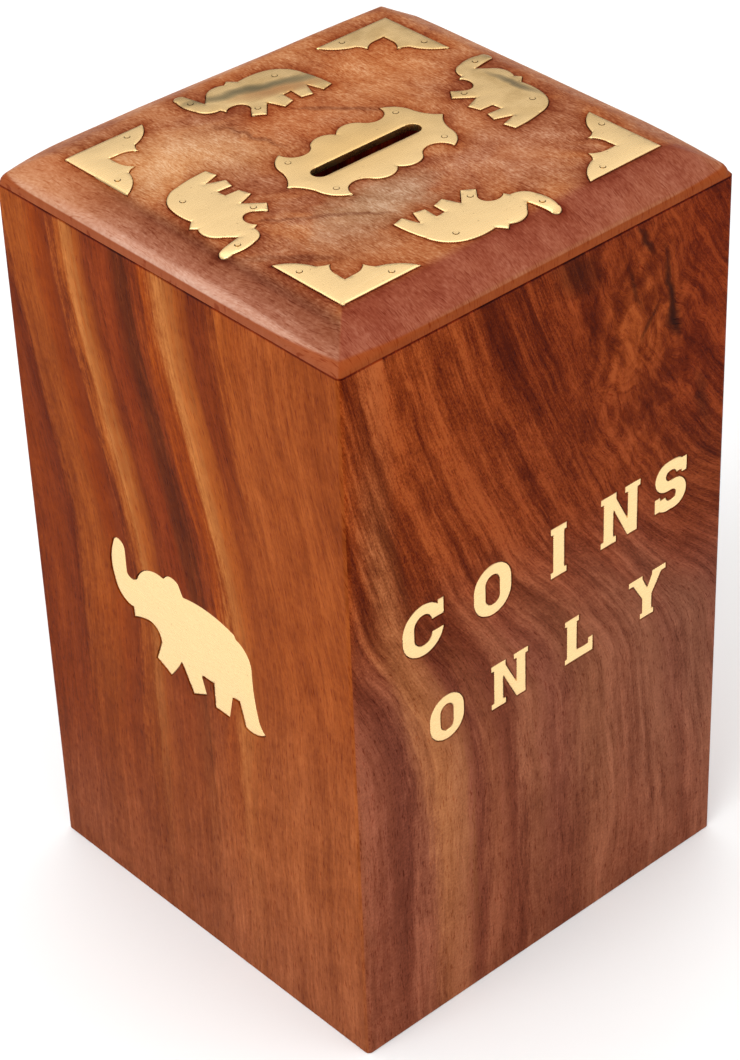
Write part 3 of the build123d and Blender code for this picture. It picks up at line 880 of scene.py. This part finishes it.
def make_inlay(node, material, axis, outward, dome, seed):
    """Brass plate with filed shoulders and a slightly domed, uneven face."""
    low, high = (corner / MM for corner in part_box(node))
    face = high[axis] if outward > 0 else low[axis]
    back = low[axis] if outward > 0 else high[axis]
    loops = face_loops(node, axis, back)
    pin_holes = [n for n, loop in enumerate(loops) if n and np.ptp(loop[:, 0]) < 2.0]
    loops = [grown(p, PIN_HOLE_GAP) if n in pin_holes else p for n, p in enumerate(loops)]
    loops = [loop if n in pin_holes else cut_by_hand(loop, seed) for n, loop in enumerate(loops)]
    insets = [0.07, 0.2, 0.42]
    box_low, box_high = loops[0].min(0), loops[0].max(0)
    inner = lattice(box_low, box_high, 0.8)
    inner = inner[inside(inner, loops)]
    inner = inner[distances(inner, loops) > 0.6]
    inner = np.concatenate([rings_inside(loops, insets, 0.45), inner])

    def surface(points, away):
        short = np.clip(SHOULDER - away, 0, SHOULDER)
        fall = SHOULDER - np.sqrt(SHOULDER**2 - short**2)
        waves = np.array([noise.noise(Vector((x / 8.0, y / 8.0, seed))) for x, y in points])
        level = -dome * np.exp(-away / 2.5) - 0.6 * fall - 0.02 * (1 + waves)
        if axis == 2:
            level += np.minimum(board_height(points) - FIELD, 0.0)
        return level

    edges = [loop for n, loop in enumerate(loops) if n not in pin_holes]
    shell = Shell()
    depth = abs(face - back)
    rims = [shell.ring(loop, surface(loop, distances(loop, edges))) for loop in loops]
    body = shell.ring(inner, surface(inner, distances(inner, edges)))
    shell.fill(rims, body)
    feet = [shell.ring(loop, -depth) for loop in loops]
    for rim, foot in zip(rims, feet):
        shell.bridge(rim, foot)
    shell.fill(feet)
    others = [a for a in range(3) if a != axis]

    def to_space(u, v, h):
        place = [0.0, 0.0, 0.0]
        place[others[0]], place[others[1]] = u, v
        place[axis] = face + outward * h
        return place

    piece = shell.build(node + "_brass", material, "box", to_space)
    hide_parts(node)


def give(material, *names):
    for name in names:
        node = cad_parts[name]
        node.data.materials.clear()
        node.data.materials.append(material)


# ---- floor and light ----------------------------------------------------------------------------
FLOOR_REACH = 6.0            # metres from the box to the floor's sides
FLOOR_LEVEL = -0.0002        # metres; clear of the box's flat underside


def make_floor():
    mesh = bpy.data.meshes.new("floor")
    corners = [(-1, -1), (1, -1), (1, 1), (-1, 1)]
    points = [(x * FLOOR_REACH, y * FLOOR_REACH, FLOOR_LEVEL) for x, y in corners]
    mesh.from_pydata(points, [], [(0, 1, 2, 3)])
    floor = bpy.data.objects.new("floor", mesh)
    bpy.context.scene.collection.objects.link(floor)
    g = Graph("floor_paper")
    tone = g.noise(g.x, g.y, g.z, 400.0)
    colour = g.blend(tone, (0.88, 0.88, 0.89), (0.92, 0.92, 0.92))
    mesh.materials.append(g.finish(colour, 0.9, g.bump(tone, 0.2)))


def area_light(name, azimuth, elevation, distance, size, power):
    """Square soft light that shines on the middle of the box."""
    back = direction(azimuth, elevation)
    data = bpy.data.lights.new(name, "AREA")
    data.size = size
    data.energy = power
    light = bpy.data.objects.new(name, data)
    light.location = (CAD_BOX[0] + CAD_BOX[1]) / 2 + back * distance
    light.rotation_mode = "QUATERNION"
    light.rotation_quaternion = back.to_track_quat("Z", "Y")
    bpy.context.scene.collection.objects.link(light)


# Brightness of the dome at heights from 0, the horizon, to 1, overhead.
DOME = ((0.0, 0.50), (0.36, 0.42), (0.52, 1.10), (1.0, 0.68))


def make_world():
    """Soft studio dome, brightest in a band halfway up, and dimmer below it and overhead."""
    world = bpy.data.worlds.new("studio")
    world.use_nodes = True
    nodes, links = world.node_tree.nodes, world.node_tree.links
    place = nodes.new("ShaderNodeTexCoord")
    split = nodes.new("ShaderNodeSeparateXYZ")
    ramp = nodes.new("ShaderNodeValToRGB")
    elements = ramp.color_ramp.elements
    for _ in DOME[2:]:
        elements.new(0.5)
    for element, (height, level) in zip(elements, DOME):
        element.position = height
        element.color = (level, level, 0.985 * level, 1.0)
    links.new(place.outputs["Generated"], split.inputs[0])
    links.new(split.outputs["Z"], ramp.inputs[0])
    links.new(ramp.outputs[0], nodes["Background"].inputs["Color"])
    nodes["Background"].inputs["Strength"].default_value = 1.0
    bpy.context.scene.world = world


# ---- the box ------------------------------------------------------------------------------------
give(left_wood(), "left_panel")
give(front_wood(), "front_panel")
give(plain_wood("back_wood", "x", "y", 71.0), "back_panel")
give(plain_wood("right_wood", "y", "x", 83.0), "right_panel")
GLUE_BLOCKS = [f"glue_block_{n}" for n in range(1, 5)]
give(plain_wood("base_wood", "x", "y", 95.0), "base_plate", *GLUE_BLOCKS)
make_top_board(top_wood())
top_brass = brass("top_brass", (7.0, 0.35, 7.0))
wall_brass = brass("wall_brass", (7.0, 7.0, 0.35))
for number, name in enumerate(TOP_INLAYS):
    make_inlay(name, top_brass, 2, 1, TOP_DOME, 3.0 + number)
LETTERS = [f"upper_letter_{n}" for n in range(1, 6)]
LETTERS += [f"lower_letter_{n}" for n in range(1, 5)]
for number, name in enumerate(LETTERS):
    make_inlay(name, wall_brass, 1, -1, LETTER_DOME, 20.0 + number)
make_inlay("side_elephant", wall_brass, 0, -1, ELEPHANT_DOME, 40.0)
give(top_brass, "slot_plate_pins", "elephant_pins", "bracket_pins")
give(steel(), *(f"base_screw_{n}" for n in range(1, 5)))

make_floor()
make_world()
area_light("key", -78.0, 50.0, 1.5, 1.0, 12.5)
area_light("front", 25.0, 30.0, 1.8, 1.2, 5.0)
area_light("sky", 150.0, 70.0, 1.8, 1.3, 7.0)
